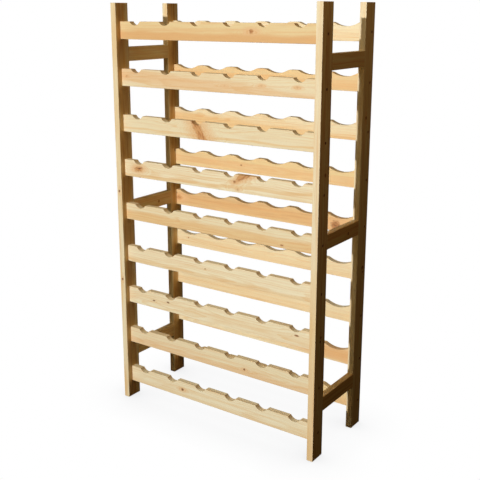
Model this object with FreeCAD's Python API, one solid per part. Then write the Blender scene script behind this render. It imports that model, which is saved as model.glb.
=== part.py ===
import FreeCAD, Part
import os

# Wine rack of 18 mm pine boards: two ladder-like side frames joined by nine pairs of cross rails.
# A bottle lies with its neck in a notch of a front rail and its body in a scallop of the back rail.
# Millimetres, +X across the rack, +Y to the back, +Z up. Origin: on the floor, at the middle.

# Overall size
WIDTH = 670.0
DEPTH = 270.0
HEIGHT = 1180.0

# Boards
BOARD = 18.0                    # thickness of every board
POST_WIDTH = 50.0               # posts stand with this side facing outwards
RAIL_HEIGHT = 48.0              # cross rails
ARRIS = 1.0                     # rounding of the boards' long edges

# Cross rails
LEVELS = 9
BOTTLES = 6                     # side by side on one level
LEVEL_PITCH = 129.0
LOWEST_RAIL = 50.0              # floor to the underside of the lowest cross rails
FRONT_RAIL_INSET = 18.0         # front edge of the front posts to the front rails' front face
BACK_RAIL_INSET = 27.0          # front edge of the back posts to the back rails' front face

# Neck notches of the front rails and body scallops of the back rails
NOTCH_CHORD = 37.0
NOTCH_DEPTH = 10.5
NOTCH_CORNER = 1.5              # rounding of a notch's two upper corners
SCALLOP_DEPTH = 10.5
CREST_FLAT = 20.0               # level top of the crest between two scallops
CREST_ROUNDING = 18.0           # radius from the level top into the hollow

# Side rails, between the two posts of a side frame
SIDE_RAILS = ("lower", "middle", "upper")
SIDE_RAIL_HEIGHT = 40.0
SIDE_RAIL_PITCH = 446.0
LOWEST_SIDE_RAIL = 128.0        # floor to the underside of the lower side rails

# Countersunk screws, one through a post into each end of each cross rail
SCREW_RADIUS = 2.0
SCREW_HEAD_RADIUS = 4.0
SCREW_HEAD_HEIGHT = SCREW_HEAD_RADIUS - SCREW_RADIUS    # a 90 degree countersink
SCREW_SINK = 0.6                # head top below the post's outer face
SCREW_LENGTH = 50.0
SCREW_POINT = 4.0
CROSS_LENGTH = 4.4              # driver recess, tip to tip
CROSS_WIDTH = 1.1
CROSS_DEPTH = 1.4

# Dowels, two in each end of each side rail
DOWEL_RADIUS = 3.0
DOWEL_LENGTH = 30.0
DOWEL_PITCH = 20.0
DOWEL_HOLE_DEPTH = 16.0
DOWEL_CHAMFER = 0.8

INNER_WIDTH = WIDTH - 2 * BOARD
BOTTLE_PITCH = INNER_WIDTH / BOTTLES
SIDE_RAIL_LENGTH = DEPTH - 2 * POST_WIDTH
SIDES = {"left": -1, "right": 1}
POST_FRONT_Y = {"front": -DEPTH / 2, "back": DEPTH / 2 - POST_WIDTH}
RAIL_FRONT_Y = {"front": -DEPTH / 2 + FRONT_RAIL_INSET,
                "back": DEPTH / 2 - POST_WIDTH + BACK_RAIL_INSET}

X_AXIS = FreeCAD.Vector(1, 0, 0)
Y_AXIS = FreeCAD.Vector(0, 1, 0)
CLOSE = 1e-6                    # lengths and directions nearer than this are the same


def level_bottom(level):
    """Height of the underside of a level's cross rails; level 1 is the lowest."""
    return LOWEST_RAIL + (level - 1) * LEVEL_PITCH


def side_rail_bottom(place):
    """Height of the underside of a side rail."""
    return LOWEST_SIDE_RAIL + SIDE_RAILS.index(place) * SIDE_RAIL_PITCH


def bottle_centres():
    """Across the rack, the middle of each notch and scallop."""
    return [-INNER_WIDTH / 2 + BOTTLE_PITCH * (i + 0.5) for i in range(BOTTLES)]


def box(x, y, z, size_x, size_y, size_z):
    return Part.makeBox(size_x, size_y, size_z, FreeCAD.Vector(x, y, z))


def edges_along(shape, axis):
    """The shape's straight edges that run along an axis."""
    found = []
    for edge in shape.Edges:
        if isinstance(edge.Curve, Part.Line) or isinstance(edge.Curve, Part.LineSegment):
            direction = edge.tangentAt(edge.FirstParameter)
            if abs(abs(direction.dot(axis)) - 1) < CLOSE:
                found.append(edge)
    return found


def arc(start, middle, end):
    """An arc in the upright plane of a rail's face, through three (x, z) points."""
    points = [FreeCAD.Vector(x, 0, z) for x, z in (start, middle, end)]
    return Part.Arc(*points).toShape()


def line(start, end):
    points = [FreeCAD.Vector(x, 0, z) for x, z in (start, end)]
    return Part.LineSegment(*points).toShape()


# Screws and their holes ---------------------------------------------------------------------

def screw_places(side, row):
    """Where the screws of one post start, on its outer face, with the way they point."""
    outer_x = SIDES[side] * WIDTH / 2
    y = RAIL_FRONT_Y[row] + BOARD / 2
    inwards = X_AXIS * -SIDES[side]
    return [(FreeCAD.Vector(outer_x, y, level_bottom(level) + RAIL_HEIGHT / 2), inwards)
            for level in range(1, LEVELS + 1)]


def screw_body(start, direction):
    """A screw's solid outline: countersunk head, shank and point."""
    head_top = start + direction * SCREW_SINK
    shank_top = head_top + direction * SCREW_HEAD_HEIGHT
    shank_length = SCREW_LENGTH - SCREW_HEAD_HEIGHT - SCREW_POINT
    point_top = shank_top + direction * shank_length
    head = Part.makeCone(SCREW_HEAD_RADIUS, SCREW_RADIUS, SCREW_HEAD_HEIGHT, head_top, direction)
    shank = Part.makeCylinder(SCREW_RADIUS, shank_length, shank_top, direction)
    point = Part.makeCone(SCREW_RADIUS, 0, SCREW_POINT, point_top, direction)
    return head.fuse([shank, point]).removeSplitter()


def screw(start, direction):
    """A screw with its cross recess."""
    head_top = start + direction * SCREW_SINK
    x = head_top.x if direction.x > 0 else head_top.x - CROSS_DEPTH
    slots = []
    for size_y, size_z in ((CROSS_LENGTH, CROSS_WIDTH), (CROSS_WIDTH, CROSS_LENGTH)):
        corner = (x, head_top.y - size_y / 2, head_top.z - size_z / 2)
        slots.append(box(*corner, CROSS_DEPTH, size_y, size_z))
    return screw_body(start, direction).cut(slots)


def screw_hole(start, direction):
    """The room that a screw fills, with the sunk mouth above its head."""
    mouth = Part.makeCylinder(SCREW_HEAD_RADIUS, SCREW_SINK, start, direction)
    return mouth.fuse(screw_body(start, direction)).removeSplitter()


# Dowels and their holes ---------------------------------------------------------------------

def dowel_places(side):
    """The middle of each dowel joint of one side frame."""
    x = SIDES[side] * (WIDTH - BOARD) / 2
    places = []
    for place in SIDE_RAILS:
        z_middle = side_rail_bottom(place) + SIDE_RAIL_HEIGHT / 2
        for y in (-SIDE_RAIL_LENGTH / 2, SIDE_RAIL_LENGTH / 2):
            for z in (z_middle - DOWEL_PITCH / 2, z_middle + DOWEL_PITCH / 2):
                places.append(FreeCAD.Vector(x, y, z))
    return places


def dowel(middle):
    start = middle - Y_AXIS * (DOWEL_LENGTH / 2)
    pin = Part.makeCylinder(DOWEL_RADIUS, DOWEL_LENGTH, start, Y_AXIS)
    rims = [edge for edge in pin.Edges if isinstance(edge.Curve, Part.Circle)]
    return pin.makeChamfer(DOWEL_CHAMFER, rims)


def dowel_hole(middle):
    start = middle - Y_AXIS * DOWEL_HOLE_DEPTH
    return Part.makeCylinder(DOWEL_RADIUS, 2 * DOWEL_HOLE_DEPTH, start, Y_AXIS)


# Boards -------------------------------------------------------------------------------------

def board_left(side):
    """The lower X of a side frame's boards."""
    return WIDTH / 2 - BOARD if side == "right" else -WIDTH / 2


def post(side, row):
    """An upright, rounded along all its edges, drilled for its screws and dowels."""
    blank = box(board_left(side), POST_FRONT_Y[row], 0, BOARD, POST_WIDTH, HEIGHT)
    blank = blank.makeFillet(ARRIS, blank.Edges)
    holes = [screw_hole(*place) for place in screw_places(side, row)]
    holes += [dowel_hole(middle) for middle in dowel_places(side)]
    return blank.cut(holes)


def side_rail(side, place):
    """A short rail between the two posts of a side frame, butted against their edges."""
    blank = box(board_left(side), -SIDE_RAIL_LENGTH / 2, side_rail_bottom(place),
                BOARD, SIDE_RAIL_LENGTH, SIDE_RAIL_HEIGHT)
    blank = blank.makeFillet(ARRIS, edges_along(blank, Y_AXIS))
    return blank.cut([dowel_hole(middle) for middle in dowel_places(side)])


def rail_blank(top_edges):
    """A cross rail at the origin: its outline below the given top edges, one board thick."""
    left = -INNER_WIDTH / 2
    right = INNER_WIDTH / 2
    bottom_edges = [line((left, RAIL_HEIGHT), (left, 0)),
                    line((left, 0), (right, 0)),
                    line((right, 0), (right, RAIL_HEIGHT))]
    outline = Part.Wire(Part.__sortEdges__(top_edges + bottom_edges))
    return Part.Face(outline).extrude(Y_AXIS * BOARD)


def neck_notches():
    """Top of a front rail: level, with a round notch for each bottle's neck."""
    edges = []
    x = -INNER_WIDTH / 2
    for centre in bottle_centres():
        start = centre - NOTCH_CHORD / 2
        end = centre + NOTCH_CHORD / 2
        edges.append(line((x, RAIL_HEIGHT), (start, RAIL_HEIGHT)))
        edges.append(arc((start, RAIL_HEIGHT), (centre, RAIL_HEIGHT - NOTCH_DEPTH), (end, RAIL_HEIGHT)))
        x = end
    edges.append(line((x, RAIL_HEIGHT), (INNER_WIDTH / 2, RAIL_HEIGHT)))
    return edges


def body_scallops():
    """Top of a back rail: a wide hollow for each bottle's body, with rounded crests between."""
    half = (BOTTLE_PITCH - CREST_FLAT) / 2
    radii = (half ** 2 + SCALLOP_DEPTH ** 2) / (2 * SCALLOP_DEPTH)      # hollow's radius plus crest's
    hollow = radii - CREST_ROUNDING
    bottom = RAIL_HEIGHT - SCALLOP_DEPTH
    turn_x = half * hollow / radii                  # where the hollow's arc meets the crest's
    turn_z = bottom + SCALLOP_DEPTH * hollow / radii
    lean = turn_x / hollow                          # sine of the slope there
    crest_x = half - CREST_ROUNDING * (lean / 2)    # a point of the crest's arc
    crest_z = RAIL_HEIGHT - CREST_ROUNDING + (CREST_ROUNDING ** 2 - (half - crest_x) ** 2) ** 0.5
    edges = []
    x = -INNER_WIDTH / 2
    for centre in bottle_centres():
        start = (centre - half, RAIL_HEIGHT)
        end = (centre + half, RAIL_HEIGHT)
        left_turn = (centre - turn_x, turn_z)
        right_turn = (centre + turn_x, turn_z)
        edges.append(line((x, RAIL_HEIGHT), start))
        edges.append(arc(start, (centre - crest_x, crest_z), left_turn))
        edges.append(arc(left_turn, (centre, bottom), right_turn))
        edges.append(arc(right_turn, (centre + crest_x, crest_z), end))
        x = centre + half
    edges.append(line((x, RAIL_HEIGHT), (INNER_WIDTH / 2, RAIL_HEIGHT)))
    return edges


def at_an_end(spot):
    """Whether a point of a cross rail is in one of its two sawn ends."""
    return abs(abs(spot.x) - INNER_WIDTH / 2) < CLOSE


def notch_corners(blank):
    """The edges where a front rail's level top drops into a notch."""
    return [edge for edge in edges_along(blank, Y_AXIS)
            if abs(edge.CenterOfMass.z - RAIL_HEIGHT) < CLOSE
            and not at_an_end(edge.CenterOfMass)]


def face_edges(blank):
    """The edges round a rail's front and back faces, without those of its two sawn ends."""
    return [edge for edge in blank.Edges
            if edge.BoundBox.YLength < CLOSE
            and not at_an_end(edge.CenterOfMass)]


def cross_rail(row, level):
    """A cross rail in its place, drilled in both ends for its screws."""
    if row == "front":
        blank = rail_blank(neck_notches())
        blank = blank.makeFillet(NOTCH_CORNER, notch_corners(blank))
    else:
        blank = rail_blank(body_scallops())
    rail = blank.makeFillet(ARRIS, face_edges(blank))
    rail.translate(FreeCAD.Vector(0, RAIL_FRONT_Y[row], level_bottom(level)))
    holes = [screw_hole(*screw_places(side, row)[level - 1]) for side in SIDES]
    return rail.cut(holes)


def export(shape, node):
    shape.exportStep("parts/" + node + ".step")


os.makedirs("parts", exist_ok=True)

for side in SIDES:
    for row in POST_FRONT_Y:
        export(post(side, row), f"post_{row}_{side}")
        screws = [screw(*place) for place in screw_places(side, row)]
        export(Part.makeCompound(screws), f"screws_{row}_{side}")
    for place in SIDE_RAILS:
        export(side_rail(side, place), f"side_rail_{place}_{side}")
    dowels = [dowel(middle) for middle in dowel_places(side)]
    export(Part.makeCompound(dowels), f"dowels_{side}")

for row in RAIL_FRONT_Y:
    for level in range(1, LEVELS + 1):
        export(cross_rail(row, level), f"{row}_rail_{level}")
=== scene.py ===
"""The looks of the pine wine rack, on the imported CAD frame.

Every CAD node keeps its shape, and only its material is made here. Pine is a solid texture: growth
rings lie round a pith that runs beside the board, and knots push them aside, so that the faces, edges
and ends of one board agree. Lengths inside the materials are in millimetres, all others in metres.
"""

import math
import random
from dataclasses import dataclass

import bpy
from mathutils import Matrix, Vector


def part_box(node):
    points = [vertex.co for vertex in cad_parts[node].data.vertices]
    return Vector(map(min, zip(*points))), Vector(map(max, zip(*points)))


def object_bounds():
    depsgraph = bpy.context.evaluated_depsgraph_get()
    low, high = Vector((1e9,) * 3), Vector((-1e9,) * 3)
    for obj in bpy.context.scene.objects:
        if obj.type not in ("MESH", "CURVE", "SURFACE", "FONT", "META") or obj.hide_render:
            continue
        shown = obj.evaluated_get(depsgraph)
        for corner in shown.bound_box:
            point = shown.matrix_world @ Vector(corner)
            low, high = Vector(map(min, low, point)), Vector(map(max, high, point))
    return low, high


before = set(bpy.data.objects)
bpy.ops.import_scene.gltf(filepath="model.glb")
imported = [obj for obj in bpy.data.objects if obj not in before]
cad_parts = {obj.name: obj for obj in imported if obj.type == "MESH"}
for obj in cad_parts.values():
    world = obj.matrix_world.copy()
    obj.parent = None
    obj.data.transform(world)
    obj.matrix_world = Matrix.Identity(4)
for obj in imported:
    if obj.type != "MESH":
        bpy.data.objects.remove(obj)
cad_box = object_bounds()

MM = 0.001

# The camera stands in front of the rack's right side, at the height of its top rail.
CAMERA_PLACE = (1.2825, -1.8182, 1.1595)
CAMERA_TURN_DEG = 35.06
CAMERA_DIP_DEG = 14.22
CAMERA_LENS_MM = 60.86
CAMERA_SENSOR_MM = 36.0
CAMERA_SHIFT = -0.05
CAMERA_REACH = 100.0

# Lamps: the direction is from the rack's middle towards the lamp, as degrees round from the front and
# degrees above the horizon. The key lamp is far off, so that its light is all but parallel. It is aimed
# at the rack's top, and its beam fades a little towards the floor. The top lamp lights the boards' upper
# edges, the back lamp the rear, and the weak, warm side lamp the right-hand faces.
KEY_LAMP = dict(turn=-0.8, rise=13.8, distance=30.0, size=0.8, watts=32500.0, colour=(0.98, 0.98, 1.10))
KEY_BEAM_DEG = 11.5
TOP_LAMP = dict(turn=0.0, rise=50.0, distance=3.5, size=0.8, watts=22.0, colour=(1.0, 0.95, 0.85))
BACK_LAMP = dict(turn=-162.0, rise=4.0, distance=4.5, size=2.0, watts=200.0, colour=(1.0, 0.97, 1.0))
SIDE_LAMP = dict(turn=80.0, rise=50.0, distance=2.0, size=1.2, watts=4.1, colour=(1.0, 0.59, 0.26))
AMBIENCE = (0.032, 0.0215, 0.0095)
FLOOR_AMBIENCE = (0.013, 0.007, 0.002)
WHITE = (1.0, 1.0, 1.0)
FLOOR_SHADE = (0.72, 0.72, 0.73)
FLOOR_SHADE_REACH = 0.16
FLOOR_SHADE_SAMPLES = 16
FLOOR_HALF_SIZE = 30.0

# All colours are linear. First planed pine:
IVORY = (0.86, 0.765, 0.47)
CREAM = (0.82, 0.715, 0.42)
STRAW = (0.79, 0.62, 0.29)
WHEAT = (0.74, 0.56, 0.26)
HONEY = (0.78, 0.55, 0.24)
PEACH = (0.78, 0.50, 0.225)
OCHRE = (0.76, 0.50, 0.18)
AMBER = (0.72, 0.40, 0.14)
RUST = (0.50, 0.22, 0.065)
KNOT_WOOD = (0.36, 0.14, 0.045)
KNOT_RIM = (0.10, 0.035, 0.013)
FIBRE_SHADE = (0.74, 0.64, 0.52)
END_GRAIN_SHADE = (0.62, 0.46, 0.30)

# Turned beech, from dark fibre to pale, and its flecks.
BEECH = ((0.50, 0.29, 0.15), (0.66, 0.43, 0.24), (0.74, 0.53, 0.32))
BEECH_FLECK = (0.30, 0.15, 0.07)

# Bronzed steel, from dark blotches to pale, and where it is rubbed.
BRONZE = ((0.30, 0.12, 0.06), (0.40, 0.19, 0.10), (0.50, 0.28, 0.16))
RUBBED_BRONZE = (0.48, 0.36, 0.26)


@dataclass
class Knot:
    """A branch in the board.

    along, across and depth say where it is, from -1 to 1, from the board's middle to its sides. aim is
    the way it points, radius is in millimetres, and taper is how much that grows for each millimetre.
    dark goes from 0, amber wood, to 1, a brown knot with a black rim. flame is how warm the wood round
    it is, and wood is how plainly the branch's own wood shows.
    """

    along: float
    across: float
    radius: float
    dark: float = 0.5
    flame: float = 0.5
    wood: float = 1.0
    aim: tuple = (0.15, 0.1, 1.0)
    taper: float = 0.0
    depth: float = 0.0


@dataclass
class Band:
    """A band of warmer wood along the board; on the left posts, partly painted shade on the inner faces.

    Its middle is at place, from -1 to 1 across the board, and width is a share of the board's. It climbs
    by slope from end to end, and by tilt millimetres for each one through the board.
    """

    place: float
    slope: float
    width: float
    strength: float
    tilt: float = 0.0


@dataclass
class Look:
    """How one board differs from the others.

    Its wood turns from pale to warm in its band and in long streaks. streaks is how strong those are,
    and heart how strong the red streaks of heartwood are, away from the board's low edge.
    """

    pale: tuple
    warm: tuple
    streaks: float
    band: Band
    heart: float = 0.0
    knots: tuple = ()


FRONT_RAIL_LOOKS = {
    9: Look(STRAW, AMBER, 0.4, Band(-0.62, 0.05, 0.55, 0.8), knots=(Knot(0.39, 0.15, 6.0, 0.2, 1.0),)),
    8: Look(
        CREAM, PEACH, 0.4, Band(-0.5, 0.9, 0.9, 0.65),
        knots=(
            Knot(0.49, 0.05, 3.4, 0.0, 0.8, wood=0.25),
            Knot(0.82, 0.08, 3.4, 0.0, 0.9, wood=0.35),
            Knot(0.13, -0.2, 3.0, 0.0, 0.7, wood=0.2),
            Knot(-0.94, 0.2, 3.2, 0.1, 0.9, wood=0.5),
        ),
    ),
    7: Look(
        CREAM, HONEY, 0.2, Band(-0.55, 0.0, 0.12, 0.7),
        knots=(Knot(-0.148, 0.0, 12.5, 0.05, 0.8, aim=(0.5, -0.86, 0.03), taper=0.04, depth=-1.0),),
    ),
    6: Look(
        IVORY, HONEY, 0.4, Band(-0.5, -0.45, 0.2, 0.7),
        knots=(
            Knot(-0.79, 0.1, 8.0, 0.1, 1.0, aim=(0.85, 0.1, 0.5)),
            Knot(-0.78, 0.2, 1.7, 0.8, 0.0, aim=(0.85, 0.1, 0.5)),
            Knot(-0.82, -1.0, 3.0, 0.6, 0.3),
            Knot(0.265, 0.5, 6.5, 0.08, 0.9, aim=(0.75, 0.65, 0.03), taper=0.28, depth=-1.0),
            Knot(0.228, 0.2, 4.0, 0.3, 0.8),
            Knot(0.26, -0.62, 3.0, 0.1, 0.6, wood=0.5),
        ),
    ),
    5: Look(
        CREAM, HONEY, 0.5, Band(-0.5, 0.0, 0.65, 0.95),
        knots=(Knot(0.75, -0.6, 2.0, 0.3, 0.6, aim=(1.0, 0.1, 0.5)),),
    ),
    4: Look(
        IVORY, HONEY, 0.3, Band(-0.75, 0.1, 0.3, 0.6),
        knots=(Knot(-0.09, 0.16, 1.6, 0.4, 0.2),),
    ),
    3: Look(
        IVORY, HONEY, 0.35, Band(-0.1, 0.2, 0.3, 0.3),
        knots=(
            Knot(-0.64, -0.05, 2.0, 0.7, 0.2, aim=(1.0, 0.0, 0.5)),
            Knot(-0.47, 0.1, 2.0, 0.7, 0.2, aim=(1.0, -0.1, 0.5)),
            Knot(0.91, 0.2, 2.4, 0.5, 0.3, aim=(1.0, 0.0, 0.45)),
        ),
    ),
    2: Look(
        CREAM, PEACH, 0.4, Band(-0.65, 0.0, 0.45, 0.6),
        knots=(Knot(0.33, -0.21, 3.0, 0.5, 0.7),),
    ),
    1: Look(
        IVORY, HONEY, 0.35, Band(-0.8, 0.0, 0.3, 0.4),
        knots=(Knot(-0.37, 0.03, 4.2, 0.7, 0.8),),
    ),
}

BACK_RAIL_LOOKS = {
    9: Look(CREAM, HONEY, 0.3, Band(-0.5, 0.0, 0.3, 0.3)),
    8: Look(WHEAT, AMBER, 0.5, Band(-0.2, 0.3, 0.4, 0.45), knots=(Knot(-0.93, 0.2, 4.0, 0.1, 0.5),)),
    7: Look(CREAM, HONEY, 0.5, Band(-0.8, 0.5, 0.9, 0.9)),
    6: Look(STRAW, PEACH, 0.5, Band(-0.3, 0.2, 0.6, 0.5), knots=(Knot(-0.21, -0.05, 2.2, 0.4, 0.5),)),
    5: Look(
        WHEAT, AMBER, 0.6, Band(-0.1, 0.0, 0.8, 0.5), heart=0.25,
        knots=(Knot(-0.96, 0.0, 9.0, 0.0, 1.0), Knot(0.8, -0.35, 15.0, 0.55, 1.0)),
    ),
    4: Look(CREAM, HONEY, 0.4, Band(-0.6, 0.1, 0.4, 0.4), knots=(Knot(-0.85, 0.1, 2.0, 0.2, 0.5),)),
    3: Look(CREAM, HONEY, 0.4, Band(-0.5, 0.0, 0.5, 0.4)),
    2: Look(CREAM, AMBER, 0.4, Band(0.8, 0.9, 1.0, 0.8)),
    1: Look(STRAW, PEACH, 0.4, Band(-0.4, 0.1, 0.5, 0.5), knots=(Knot(0.3, -0.2, 3.0),)),
}

POST_LOOKS = {
    # Left posts: tilted bands darken and warm the inner faces, partly as wood, partly as painted shade.
    "post_front_left": Look(
        CREAM, OCHRE, 0.6, Band(0.9, 0.0, 0.8, 0.8, tilt=3.0), heart=0.6,
        knots=(
            Knot(0.104, -0.8, 3.4, 0.7, 0.5, aim=(0.1, 1.0, 0.1)),
            Knot(-0.352, -0.8, 3.4, 0.7, 0.5, aim=(0.1, 1.0, 0.1)),
            Knot(0.62, 0.3, 5.0),
        ),
    ),
    # Its band reaches only the lower part of the post, which turns warmer and darker towards the bottom.
    "post_front_right": Look(
        IVORY, HONEY, 0.5, Band(-2.0, 1.0, 1.0, 0.7), heart=0.5,
        knots=(Knot(0.3, 0.2, 4.5), Knot(-0.42, 0.1, 3.5)),
    ),
    # Its tilted band is partly painted shade on the inner face, as on the front left post.
    "post_back_left": Look(
        CREAM, OCHRE, 0.7, Band(0.9, 0.0, 0.8, 0.8, tilt=3.0), heart=0.6,
        knots=(Knot(0.25, 0.0, 5.0), Knot(-0.6, 0.4, 4.0)),
    ),
    "post_back_right": Look(
        IVORY, STRAW, 0.5, Band(-0.2, 0.0, 0.3, 0.4), heart=0.35,
        knots=(Knot(0.5, -0.2, 4.0), Knot(-0.2, 0.3, 5.5)),
    ),
}

SIDE_RAIL_LOOKS = {
    "lower": Look(STRAW, HONEY, 0.5, Band(-0.4, 0.1, 0.4, 0.4), heart=0.4),
    "middle": Look(STRAW, PEACH, 0.5, Band(0.3, 0.2, 0.4, 0.5), heart=0.4, knots=(Knot(0.3, -0.2, 4.0),)),
    "upper": Look(CREAM, HONEY, 0.4, Band(-0.6, 0.0, 0.4, 0.4), heart=0.3),
}

# The axes that run along, across and through a board, for each family of boards.
RAIL_AXES = (0, 2, 1)
POST_AXES = (2, 1, 0)
SIDE_RAIL_AXES = (1, 2, 0)


class Recipe:
    """Adds nodes to a material or a world, so that its making reads as a list of steps.

    A value is a number, a tuple or another node's output.
    """

    def __init__(self, owner):
        owner.use_nodes = True
        self.tree = owner.node_tree
        self.tree.nodes.clear()

    def node(self, kind, inputs=None, **settings):
        made = self.tree.nodes.new("ShaderNode" + kind)
        for name, value in settings.items():
            setattr(made, name, value)
        for key, value in (inputs or {}).items():
            self.feed(made.inputs[key], value)
        return made

    def feed(self, socket, value):
        if isinstance(value, bpy.types.NodeSocket):
            self.tree.links.new(value, socket)
        elif socket.type == "RGBA":
            socket.default_value = (*value, 1.0)
        else:
            socket.default_value = value

    def math(self, operation, first, second=0.0):
        made = self.node("Math", {0: first, 1: second}, operation=operation)
        return made.outputs[0]

    def add(self, *terms):
        total = terms[0]
        for term in terms[1:]:
            total = self.math("ADD", total, term)
        return total

    def times(self, *factors):
        product = factors[0]
        for factor in factors[1:]:
            product = self.math("MULTIPLY", product, factor)
        return product

    def less(self, first, second):
        return self.math("SUBTRACT", first, second)

    def most(self, *values):
        largest = values[0]
        for value in values[1:]:
            largest = self.math("MAXIMUM", largest, value)
        return largest

    def swing(self, value, size):
        """A noise value turned into an offset of about plus or minus size."""
        return self.times(self.less(value, 0.5), 2.0 * size)

    def step(self, value, low, high, bottom=0.0, top=1.0):
        """Goes smoothly from bottom to top as value goes from low to high."""
        made = self.node(
            "MapRange",
            {"Value": value, "From Min": low, "From Max": high, "To Min": bottom, "To Max": top},
            interpolation_type="SMOOTHSTEP",
        )
        return made.outputs[0]

    def vector(self, operation, first, second=(0.0, 0.0, 0.0)):
        made = self.node("VectorMath", {0: first, 1: second}, operation=operation)
        scalar = operation in ("DOT_PRODUCT", "LENGTH")
        return made.outputs["Value" if scalar else "Vector"]

    def scaled(self, vector, factor):
        made = self.node("VectorMath", {0: vector, "Scale": factor}, operation="SCALE")
        return made.outputs["Vector"]

    def split(self, vector):
        return self.node("SeparateXYZ", {0: vector}).outputs

    def joined(self, x, y, z):
        return self.node("CombineXYZ", {0: x, 1: y, 2: z}).outputs[0]

    def noise(self, point, grain, detail, roughness=0.5):
        """Noise whose blobs measure grain along each axis. Returns the noise node's outputs."""
        sizes = tuple(1.0 / length for length in grain)
        made = self.node(
            "TexNoise",
            {
                "Vector": self.vector("MULTIPLY", point, sizes),
                "Scale": 1.0,
                "Detail": detail,
                "Roughness": roughness,
            },
            noise_dimensions="3D",
        )
        return made.outputs

    def line_noise(self, value):
        made = self.node("TexNoise", {"W": value, "Scale": 1.0, "Detail": 1.0}, noise_dimensions="1D")
        return made.outputs[0]

    def blend(self, share, first, second, mode="MIX"):
        """Mixes two colours."""
        made = self.node("Mix", {0: share, 6: first, 7: second}, data_type="RGBA", blend_type=mode)
        return made.outputs[2]

    def shades(self, share, *colours):
        """A colour ramp through evenly spaced colours."""
        ramp = self.node("ValToRGB", {0: share})
        elements = ramp.color_ramp.elements
        while len(elements) < len(colours):
            elements.new(0.5)
        for index, colour in enumerate(colours):
            elements[index].position = index / (len(colours) - 1)
            elements[index].color = (*colour, 1.0)
        return ramp.outputs[0]

    def surface(self, **inputs):
        """The material's one Principled shader. Underscores in names stand for spaces."""
        named = {name.replace("_", " "): value for name, value in inputs.items()}
        shader = self.node("BsdfPrincipled", named)
        self.node("OutputMaterial", {"Surface": shader.outputs[0]})

    def plain_to_camera(self, seen, bounced):
        """One shader for the camera and a dimmer one for light that bounces."""
        to_camera = self.node("LightPath").outputs["Is Camera Ray"]
        mix = self.node("MixShader", {0: to_camera, 1: bounced.outputs[0], 2: seen.outputs[0]})
        return mix.outputs[0]

    def relief(self, height):
        """The normal of a surface whose height is given in millimetres."""
        bump = self.node("Bump", {"Strength": 1.0, "Distance": MM, "Height": height})
        return bump.outputs[0]


def board_point(recipe, low, high, axes):
    """The place in a board as (along, across, through) from its middle, and the same for the normal."""
    middle = (low + high) / 2
    place = recipe.node("TexCoord").outputs["Object"]
    from_middle = recipe.scaled(recipe.vector("SUBTRACT", place, tuple(middle)), 1.0 / MM)
    parts = recipe.split(from_middle)
    point = recipe.joined(*(parts[axis] for axis in axes))
    normal_parts = recipe.split(recipe.node("NewGeometry").outputs["Normal"])
    normal = recipe.joined(*(normal_parts[axis] for axis in axes))
    return point, normal


def part_way(share, first, second):
    """A colour between two others."""
    return tuple(a + (b - a) * share for a, b in zip(first, second))


# Knots. Grain sizes are in millimetres, and the rest are shares of the knot's radius, except as said.
KNOT_EDGE_GRAIN = (11.0, 4.0, 4.0)
KNOT_EDGE_WANDER = 0.55
KNOT_WOOD_EDGE = (0.6, 1.25)
KNOT_RIM_WIDTH = 0.9            # in millimetres
KNOT_RIM_TINT = 0.8             # on a knot whose dark is 1
KNOT_RING_WIDTH = 0.2
KNOT_RING_TINT = 0.6            # a share of the dark wood
RESIN_GRAIN = (5.0, 5.0, 5.0)
RESIN_ALONG = 0.22              # distances along the knot count this much for the resin
RESIN_RANGE = (0.44, 0.6)       # of the noise
SWIRL_ALONG = 0.36              # distances along the board count this much for swirl and flame
SWIRL_REACH = 3.4
SWIRL_PUSH = 2.2
FLAME_EDGE = (0.7, 2.6)
FLAME_TINT = 0.9                # a share of the flame's colour


def knot_field(recipe, point, knot, half_size):
    """Where one knot is, as shares from 0 to 1, and how far it pushes the growth rings aside."""
    centre = Vector((knot.along * half_size.x, knot.across * half_size.y, knot.depth * half_size.z))
    aim = Vector(knot.aim).normalized()
    offset = recipe.vector("SUBTRACT", point, tuple(centre))
    reach = recipe.vector("DOT_PRODUCT", offset, tuple(aim))
    away = recipe.vector("SUBTRACT", offset, recipe.scaled(tuple(aim), reach))
    edge = recipe.noise(point, KNOT_EDGE_GRAIN, 4.0, 0.6)[0]
    ragged = recipe.swing(edge, KNOT_EDGE_WANDER * knot.radius)
    widening = recipe.times(reach, -knot.taper)
    distance = recipe.add(recipe.vector("LENGTH", away), ragged, widening)
    slow = recipe.vector("LENGTH", recipe.vector("MULTIPLY", away, (SWIRL_ALONG, 1.0, 1.0)))
    slow = recipe.add(slow, ragged, widening)
    from_rim = recipe.math("ABSOLUTE", recipe.less(distance, knot.radius))
    rim = recipe.step(from_rim, 0.0, KNOT_RIM_WIDTH, 1.0, 0.0)
    ring_width = knot.radius * KNOT_RING_WIDTH
    rings = recipe.math("PINGPONG", distance, ring_width)
    drawn_out = recipe.vector("ADD", away, recipe.scaled(tuple(aim), recipe.times(reach, RESIN_ALONG)))
    resin = recipe.noise(drawn_out, RESIN_GRAIN, 1.0)[0]
    wood_edge = [knot.radius * share for share in KNOT_WOOD_EDGE]
    flame_edge = [knot.radius * share for share in FLAME_EDGE]
    return dict(
        wood=recipe.step(distance, *wood_edge, knot.wood, 0.0),
        rim=recipe.times(rim, knot.dark * KNOT_RIM_TINT),
        rings=recipe.times(rings, KNOT_RING_TINT / ring_width),
        resin=recipe.step(resin, *RESIN_RANGE),
        swirl=recipe.step(slow, 0.0, knot.radius * SWIRL_REACH, knot.radius * SWIRL_PUSH, 0.0),
        flame=recipe.step(slow, *flame_edge, knot.flame, 0.0),
    )


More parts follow.
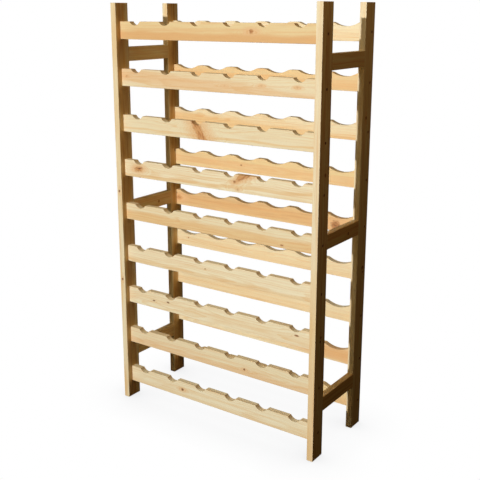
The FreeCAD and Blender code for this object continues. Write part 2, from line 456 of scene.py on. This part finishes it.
def knot_colours(recipe, colour, latewood, knot, field):
    """Paints one knot, and the flame round it, over the board's colour."""
    flame = recipe.blend(latewood, PEACH, AMBER)
    pale_wood = part_way(knot.dark, AMBER, KNOT_WOOD)
    dark_wood = part_way(knot.dark, RUST, KNOT_RIM)
    wood = recipe.blend(recipe.most(field["rings"], field["resin"]), pale_wood, dark_wood)
    colour = recipe.blend(recipe.times(field["flame"], FLAME_TINT), colour, flame)
    colour = recipe.blend(field["wood"], colour, wood)
    return recipe.blend(field["rim"], colour, KNOT_RIM)


# Growth rings, in millimetres, except as said.
PITH_ACROSS = 14.0              # the furthest across from the board's middle
PITH_DEPTH = (16.0, 38.0)       # the nearest and furthest in front of the board or behind it
PITH_SLOPE = (0.012, 0.016)     # the steepest across and through, as rise over run
PITH_WANDER = 16.0              # from one side to the other
WANDER_GRAIN = (230.0, 1.0, 1.0)
WANDER_CHOICES = 900.0          # the boards' wanders are picked from a noise this long
RIPPLE = 2.6
RIPPLE_GRAIN = (120.0, 11.0, 11.0)
RING_WIDTH = (2.72, 3.84)       # the narrowest and widest average of a board
RING_CHANGE = 0.41              # how fast the rings' widths change, in cells of noise per ring
RING_UNEVENNESS = 0.8           # in rings
LATEWOOD_RISE = (0.3, 0.86)     # where in a ring the wood darkens, from 0 to 1
LATEWOOD_FALL = (0.9, 1.0)      # where in a ring it turns pale again, from 0 to 1
FAINTEST_RING = 0.35            # a share of the darkest


def growth_rings(recipe, point, luck, swirls):
    """The share of dark latewood, from 0 to 1."""
    side = luck.choice((-1.0, 1.0))
    pith = (0.0, luck.uniform(-PITH_ACROSS, PITH_ACROSS), side * luck.uniform(*PITH_DEPTH))
    slope = (0.0, *(luck.uniform(-steepest, steepest) for steepest in PITH_SLOPE))
    along = recipe.split(point)[0]
    drift = recipe.scaled(slope, along)
    wander_place = recipe.joined(along, luck.uniform(0.0, WANDER_CHOICES), 0.0)
    wander = recipe.noise(wander_place, WANDER_GRAIN, 1.0)[1]
    wander = recipe.vector("SUBTRACT", wander, (0.5, 0.5, 0.5))
    wander = recipe.vector("MULTIPLY", wander, (0.0, PITH_WANDER, PITH_WANDER))
    from_pith = recipe.vector("ADD", recipe.vector("SUBTRACT", point, pith), drift)
    from_pith = recipe.vector("ADD", from_pith, wander)
    radius = recipe.vector("LENGTH", recipe.vector("MULTIPLY", from_pith, (0.0, 1.0, 1.0)))
    ripple = recipe.swing(recipe.noise(point, RIPPLE_GRAIN, 2.0)[0], RIPPLE)
    radius = recipe.add(radius, ripple)
    for swirl in swirls:
        radius = recipe.less(radius, swirl)
    count = recipe.math("DIVIDE", radius, luck.uniform(*RING_WIDTH))
    unevenness = recipe.line_noise(recipe.times(count, RING_CHANGE))
    count = recipe.add(count, recipe.swing(unevenness, RING_UNEVENNESS))
    phase = recipe.math("FRACT", count)
    rise = recipe.step(phase, *LATEWOOD_RISE)
    fall = recipe.step(phase, *LATEWOOD_FALL, 1.0, 0.0)
    ring_number = recipe.math("FLOOR", count)
    strength = recipe.node("TexWhiteNoise", {"W": ring_number}, noise_dimensions="1D").outputs["Value"]
    return recipe.times(rise, fall, recipe.step(strength, 0.0, 1.0, FAINTEST_RING, 1.0))


# Streaks of other colours. Grain sizes are in millimetres, and ranges are of the noise from 0 to 1.
STREAK_GRAIN = (210.0, 11.0, 14.0)
STREAK_RANGE = (0.42, 0.66)
STREAKS_IN_BAND = 0.4           # how much the streaks add to the band
BAND_WAVE = 9.0                 # in millimetres
BAND_WAVE_GRAIN = (150.0, 60.0, 60.0)
BAND_EDGE = (0.45, 1.35)        # where the band fades, as shares of its width
HEART_GRAIN = (190.0, 6.5, 12.0)
HEART_RANGE = (0.47, 0.64)
SAPWOOD_EDGE = (-0.95, -0.6)    # where heartwood begins, from -1 to 1 across the board
VEIN_GRAIN = (260.0, 2.4, 5.0)
VEIN_RANGE = (0.56, 0.72)
FIBRE_GRAIN = (34.0, 0.55, 0.55)
FIBRE_RANGE = (0.3, 0.75)
CANAL_GRAIN = (6.0, 0.5, 0.5)
CANAL_RANGE = (0.70, 0.80)
SAW_GRAIN = (0.9, 0.9, 60.0)
END_GRAIN_RANGE = (0.25, 0.95)  # of how far a face turns towards the board's end
EDGE_MASK_WIDTH = 1.6                # in millimetres
EDGE_MASK_RANGE = (0.90, 0.995)      # of how well a bevelled normal agrees with the face's own
PLACE_CHOICES = 4000.0          # boards are picked from a block of wood this big each way, in millimetres

# How strongly each shows, from 0 to 1.
LATEWOOD_TINT = 0.6
VEIN_TINT = 0.4
FIBRE_TINT = 0.22
CANAL_TINT = 0.3
END_GRAIN_TINT = 0.75
# Lightening of the rounded edges: partly wear, partly painted highlight.
EDGE_WEAR_AND_HIGHLIGHT_TINT = 0.25

# Roughness of a plain face, and what each adds to it.
PINE_ROUGHNESS = 0.50
LATEWOOD_ROUGHNESS = -0.07
FIBRE_ROUGHNESS = 0.09
END_GRAIN_ROUGHNESS = 0.18
WORN_ROUGHNESS = -0.08

# Height of the relief, in millimetres.
FIBRE_HEIGHT = 0.006
LATEWOOD_HEIGHT = 0.012
CANAL_HEIGHT = -0.01
SAW_HEIGHT = 0.015


def warm_streaks(recipe, point, look, half_size):
    """Where the board is warmer in colour, from 0 to 1: long streaks, and one band along it."""
    along, across, through = recipe.split(point)
    blotch = recipe.noise(point, STREAK_GRAIN, 3.0, 0.55)[0]
    streaks = recipe.times(recipe.step(blotch, *STREAK_RANGE), look.streaks)
    band = look.band
    climb = recipe.times(along, band.slope * half_size.y / half_size.x)
    tilt = recipe.times(through, band.tilt)
    wave = recipe.swing(recipe.noise(point, BAND_WAVE_GRAIN, 2.0)[0], BAND_WAVE)
    from_band = recipe.add(across, climb, tilt, wave, -band.place * half_size.y)
    edge = [band.width * half_size.y * share for share in BAND_EDGE]
    in_band = recipe.step(recipe.math("ABSOLUTE", from_band), *edge, band.strength, 0.0)
    both = recipe.add(in_band, recipe.times(streaks, STREAKS_IN_BAND))
    return recipe.math("MINIMUM", recipe.most(streaks, both), 1.0)


def heartwood(recipe, point, own_place, half_size):
    """Where the red streaks of heartwood are, from 0 to 1. The board's low edge is sapwood."""
    across = recipe.split(point)[1]
    streaks = recipe.step(recipe.noise(own_place, HEART_GRAIN, 3.0, 0.6)[0], *HEART_RANGE)
    sapwood_edge = [share * half_size.y for share in SAPWOOD_EDGE]
    return recipe.times(streaks, recipe.step(across, *sapwood_edge))


def rounded_edge_mask(recipe):
    """1 on the rounded edges of a board and 0 on its faces, from how far a bevel would turn the normal."""
    rounded = recipe.node("Bevel", {"Radius": EDGE_MASK_WIDTH * MM}, samples=4).outputs[0]
    flat = recipe.node("NewGeometry").outputs["Normal"]
    agreement = recipe.vector("DOT_PRODUCT", rounded, flat)
    return recipe.step(agreement, *EDGE_MASK_RANGE, 1.0, 0.0)


def pine(node, look, axes):
    """Gives a board its own pine."""
    low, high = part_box(node)
    luck = random.Random(node)
    material = bpy.data.materials.new("pine_" + node)
    recipe = Recipe(material)
    point, normal = board_point(recipe, low, high, axes)
    size = (high - low) / MM
    half_size = Vector((size[axes[0]], size[axes[1]], size[axes[2]])) / 2
    away = tuple(luck.uniform(-PLACE_CHOICES, PLACE_CHOICES) for _ in range(3))
    own_place = recipe.vector("ADD", point, away)

    knots = [knot_field(recipe, point, knot, half_size) for knot in look.knots]
    latewood = growth_rings(recipe, point, luck, [knot["swirl"] for knot in knots])
    warmth = warm_streaks(recipe, point, look, half_size)
    heart = heartwood(recipe, point, own_place, half_size)
    veins = recipe.step(recipe.noise(own_place, VEIN_GRAIN, 1.0)[0], *VEIN_RANGE)
    fibre = recipe.noise(own_place, FIBRE_GRAIN, 2.0, 0.6)[0]
    canals = recipe.step(recipe.noise(own_place, CANAL_GRAIN, 0.0)[0], *CANAL_RANGE)
    end_grain = recipe.step(recipe.math("ABSOLUTE", recipe.split(normal)[0]), *END_GRAIN_RANGE)
    edges = rounded_edge_mask(recipe)

    colour = recipe.blend(warmth, look.pale, look.warm)
    late_colour = recipe.blend(warmth, HONEY, AMBER)
    colour = recipe.blend(recipe.times(latewood, LATEWOOD_TINT), colour, late_colour)
    colour = recipe.blend(recipe.times(heart, look.heart), colour, RUST)
    colour = recipe.blend(recipe.times(veins, VEIN_TINT), colour, AMBER)
    for knot, field in zip(look.knots, knots):
        colour = knot_colours(recipe, colour, latewood, knot, field)
    dark_fibre = recipe.step(fibre, *FIBRE_RANGE, 0.0, FIBRE_TINT)
    colour = recipe.blend(dark_fibre, colour, FIBRE_SHADE, "MULTIPLY")
    colour = recipe.blend(recipe.times(canals, CANAL_TINT), colour, RUST)
    colour = recipe.blend(recipe.times(end_grain, END_GRAIN_TINT), colour, END_GRAIN_SHADE, "MULTIPLY")
    # Rounded edges lightened towards cream: partly wear, partly painted highlight where they catch light.
    colour = recipe.blend(recipe.times(edges, EDGE_WEAR_AND_HIGHLIGHT_TINT), colour, CREAM)

    roughness = recipe.add(
        PINE_ROUGHNESS,
        recipe.times(latewood, LATEWOOD_ROUGHNESS),
        recipe.swing(fibre, FIBRE_ROUGHNESS),
        recipe.times(end_grain, END_GRAIN_ROUGHNESS),
        recipe.times(edges, WORN_ROUGHNESS),
    )
    saw_marks = recipe.noise(own_place, SAW_GRAIN, 1.0)[0]
    height = recipe.add(
        recipe.times(fibre, FIBRE_HEIGHT),
        recipe.times(latewood, LATEWOOD_HEIGHT),
        recipe.times(canals, CANAL_HEIGHT),
        recipe.times(end_grain, saw_marks, SAW_HEIGHT),
    )
    recipe.surface(
        Base_Color=colour,
        Roughness=roughness,
        Normal=recipe.relief(height),
        Specular_IOR_Level=0.38,
        Coat_Weight=0.06,
        Coat_Roughness=0.35,
    )
    paint(node, material)


def paint(node, material):
    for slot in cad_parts[node].material_slots:
        slot.material = material


def board_materials():
    for level, look in FRONT_RAIL_LOOKS.items():
        pine(f"front_rail_{level}", look, RAIL_AXES)
    for level, look in BACK_RAIL_LOOKS.items():
        pine(f"back_rail_{level}", look, RAIL_AXES)
    for node, look in POST_LOOKS.items():
        pine(node, look, POST_AXES)
    for height, look in SIDE_RAIL_LOOKS.items():
        for side in ("left", "right"):
            pine(f"side_rail_{height}_{side}", look, SIDE_RAIL_AXES)


# Beech. Grain sizes and heights are in millimetres.
BEECH_FIBRE_GRAIN = (0.5, 14.0, 0.5)
BEECH_FLECK_GRAIN = (0.35, 2.2, 0.35)
BEECH_FLECK_RANGE = (0.66, 0.74)
BEECH_FLECK_TINT = 0.5
BEECH_HEIGHT = 0.03


def dowel_material():
    """Beech: close, even fibre with short dark flecks."""
    material = bpy.data.materials.new("beech")
    recipe = Recipe(material)
    point = recipe.scaled(recipe.node("TexCoord").outputs["Object"], 1.0 / MM)
    fibre = recipe.noise(point, BEECH_FIBRE_GRAIN, 3.0, 0.6)[0]
    fleck = recipe.step(recipe.noise(point, BEECH_FLECK_GRAIN, 0.0)[0], *BEECH_FLECK_RANGE)
    colour = recipe.shades(fibre, *BEECH)
    colour = recipe.blend(recipe.times(fleck, BEECH_FLECK_TINT), colour, BEECH_FLECK)
    height = recipe.less(recipe.times(fibre, BEECH_HEIGHT), recipe.times(fleck, BEECH_HEIGHT))
    recipe.surface(
        Base_Color=colour,
        Roughness=recipe.step(fibre, 0.3, 0.7, 0.62, 0.48),
        Normal=recipe.relief(height),
        Specular_IOR_Level=0.4,
    )
    for side in ("left", "right"):
        paint(f"dowels_{side}", material)


# Bronzed steel. Grain sizes and heights are in millimetres.
BLOTCH_GRAIN = (1.8, 1.8, 1.8)
SCRATCH_GRAIN = (0.25, 0.25, 2.5)
SCRATCH_HEIGHT = 0.012
RUBBED_TINT = 0.5


def screw_material():
    """Dark bronzed steel: brushed by the press, blotched, and rubbed brighter on its edges."""
    material = bpy.data.materials.new("bronzed_steel")
    recipe = Recipe(material)
    point = recipe.scaled(recipe.node("TexCoord").outputs["Object"], 1.0 / MM)
    blotch = recipe.noise(point, BLOTCH_GRAIN, 3.0, 0.6)[0]
    scratches = recipe.noise(point, SCRATCH_GRAIN, 2.0)[0]
    rubbed = rounded_edge_mask(recipe)
    colour = recipe.shades(blotch, *BRONZE)
    colour = recipe.blend(recipe.times(rubbed, RUBBED_TINT), colour, RUBBED_BRONZE)
    recipe.surface(
        Base_Color=colour,
        Metallic=0.4,
        Roughness=recipe.step(blotch, 0.3, 0.7, 0.5, 0.34),
        Normal=recipe.relief(recipe.times(scratches, SCRATCH_HEIGHT)),
    )
    for side in ("front_left", "front_right", "back_left", "back_right"):
        paint(f"screws_{side}", material)


def camera():
    data = bpy.data.cameras.new("camera")
    data.lens = CAMERA_LENS_MM
    data.sensor_width = CAMERA_SENSOR_MM
    data.shift_y = CAMERA_SHIFT
    data.clip_end = CAMERA_REACH
    made = bpy.data.objects.new("camera", data)
    made.location = CAMERA_PLACE
    made.rotation_euler = (math.radians(90.0 - CAMERA_DIP_DEG), 0.0, math.radians(CAMERA_TURN_DEG))
    bpy.context.scene.collection.objects.link(made)
    bpy.context.scene.camera = made


def lamp(name, kind, turn, rise, distance, watts, colour):
    """A lamp that faces the middle of the rack."""
    middle = (cad_box[0] + cad_box[1]) / 2
    across, up = math.radians(turn), math.radians(rise)
    towards = Vector((math.sin(across) * math.cos(up), -math.cos(across) * math.cos(up), math.sin(up)))
    data = bpy.data.lights.new(name, kind)
    data.energy = watts
    data.color = colour
    made = bpy.data.objects.new(name, data)
    made.location = middle + towards * distance
    made.rotation_euler = towards.to_track_quat("Z", "Y").to_euler()
    bpy.context.scene.collection.objects.link(made)
    return made


def soft_lamp(name, size, **settings):
    made = lamp(name, "AREA", **settings)
    made.data.size = size
    return made


def key_lamp(size, **settings):
    made = lamp("key_lamp", "SPOT", **settings)
    made.data.shadow_soft_size = size / 2
    made.data.spot_size = math.radians(KEY_BEAM_DEG)
    made.data.spot_blend = 1.0
    rack_top = Vector((0.0, 0.0, cad_box[1].z))
    made.rotation_euler = (made.location - rack_top).to_track_quat("Z", "Y").to_euler()


def backdrop():
    """White to the camera, and dim to the light that bounces."""
    world = bpy.data.worlds.new("studio")
    recipe = Recipe(world)
    seen = recipe.node("Background", {"Color": WHITE})
    bounced = recipe.node("Background", {"Color": AMBIENCE})
    recipe.node("OutputWorld", {"Surface": recipe.plain_to_camera(seen, bounced)})
    bpy.context.scene.world = world


def floor():
    """A pale floor that shades softly where the rack stands close to it."""
    reach = FLOOR_HALF_SIZE
    mesh = bpy.data.meshes.new("floor")
    corners = [(-reach, -reach, 0), (reach, -reach, 0), (reach, reach, 0), (-reach, reach, 0)]
    mesh.from_pydata(corners, [], [(0, 1, 2, 3)])
    material = bpy.data.materials.new("floor")
    recipe = Recipe(material)
    shade = recipe.node("AmbientOcclusion", {"Distance": FLOOR_SHADE_REACH}, samples=FLOOR_SHADE_SAMPLES)
    seen = recipe.node("Emission", {"Color": recipe.blend(shade.outputs["AO"], FLOOR_SHADE, WHITE)})
    bounced = recipe.node("Emission", {"Color": FLOOR_AMBIENCE})
    recipe.node("OutputMaterial", {"Surface": recipe.plain_to_camera(seen, bounced)})
    mesh.materials.append(material)
    made = bpy.data.objects.new("floor", mesh)
    bpy.context.scene.collection.objects.link(made)


def studio():
    camera()
    key_lamp(**KEY_LAMP)
    soft_lamp("top_lamp", **TOP_LAMP)
    back = soft_lamp("back_lamp", **BACK_LAMP)
    back.visible_glossy = False
    soft_lamp("side_lamp", **SIDE_LAMP)
    backdrop()
    floor()
    bpy.context.scene.view_settings.view_transform = "Standard"


board_materials()
dowel_material()
screw_material()
studio()
